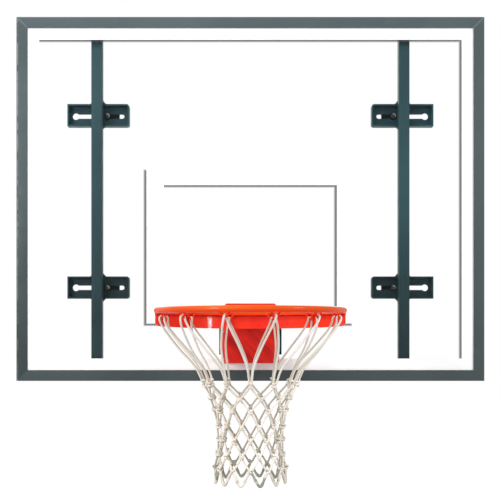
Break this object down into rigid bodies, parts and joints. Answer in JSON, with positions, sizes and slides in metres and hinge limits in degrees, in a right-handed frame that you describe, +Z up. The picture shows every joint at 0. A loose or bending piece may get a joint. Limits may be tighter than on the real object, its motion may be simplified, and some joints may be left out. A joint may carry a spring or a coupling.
{
  "type": "basketball backboard",
  "caption": "Framed glass basketball backboard on slotted wall brackets, with a sprung hinged ring and a corded net.",
  "frame": {"origin": "centre of the four mounting bolts, on the rear face of the wall brackets", "axes": "+X to the right seen from the court, +Z up, +Y back towards the wall or post, so the glass and the ring face -Y"},
  "size_m": [1.3716, 0.7271, 1.307],
  "materials": {
    "glass": "clear tempered glass, 12.7 mm",
    "white_lines": "white ceramic lines fired onto the glass",
    "rubber": "black rubber",
    "frame_coat": "grey-teal powder coat on extruded aluminium",
    "cast_key": "plain cast aluminium",
    "steel_fastener": "zinc-plated steel",
    "teal_coat": "dark teal powder coat on steel",
    "black_plastic": "black plastic",
    "white_plastic": "white nylon",
    "red_coat": "glossy red-orange powder coat on steel",
    "spring_steel": "dark spring steel",
    "orange_coat": "glossy orange-red powder coat on steel",
    "bronze_bush": "sintered bronze",
    "net_cord": "braided cream nylon cord",
    "net_hem_cord": "doubled braided nylon cord, slightly stained"
  },
  "bodies": {
    "board": {"glass_pane": "glass", "border_marking": "white_lines", "target_marking": "white_lines", "glazing_gasket": "rubber", "frame_top_rail": "frame_coat", "frame_bottom_rail": "frame_coat", "frame_left_stile": "frame_coat", "frame_right_stile": "frame_coat", "corner_keys": "cast_key", "corner_screws": "steel_fastener", "left_upright": "teal_coat", "right_upright": "teal_coat", "upright_plugs": "cast_key", "upright_bolts": "steel_fastener", "upright_screws": "steel_fastener", "upright_pads": "rubber", "upper_left_bracket": "teal_coat", "upper_right_bracket": "teal_coat", "lower_left_bracket": "teal_coat", "lower_right_bracket": "teal_coat", "slot_blocks": "black_plastic", "mounting_washers": "black_plastic", "mounting_bolts": "steel_fastener", "front_rubber_pad": "rubber", "rear_rubber_pad": "rubber", "rear_plate": "teal_coat", "glass_bushings": "white_plastic", "goal_bolts": "steel_fastener", "goal_washers": "steel_fastener", "goal_nuts": "steel_fastener", "back_plate": "red_coat", "front_cover": "red_coat", "cover_screws": "steel_fastener", "pivot_pin": "steel_fastener", "pin_clips": "steel_fastener", "stop_studs": "steel_fastener", "stop_washers": "steel_fastener", "stop_nuts": "steel_fastener", "springs": "spring_steel"},
    "ring_body": {"ring": "orange_coat", "rear_band": "red_coat", "carrier": "red_coat", "pivot_bushes": "bronze_bush", "net_rod": "orange_coat", "net_cord_1": "net_cord", "net_cord_2": "net_cord", "net_cord_3": "net_cord", "net_cord_4": "net_cord", "net_cord_5": "net_cord", "net_cord_6": "net_cord", "net_cord_7": "net_cord", "net_cord_8": "net_cord", "net_cord_9": "net_cord", "net_cord_10": "net_cord", "net_cord_11": "net_cord", "net_cord_12": "net_cord", "net_hem": "net_hem_cord"}
  },
  "joints": [
    {"name": "ring_hinge", "type": "hinge", "parent": "board", "child": "ring_body", "pos_m": [0, -0.0996, -0.3424], "axis": [1, 0, 0], "range_deg": [0, 15], "stiffness_Nm_per_rad": 1855, "springref_deg": -14.21, "deforming": ["springs"]}
  ]
}
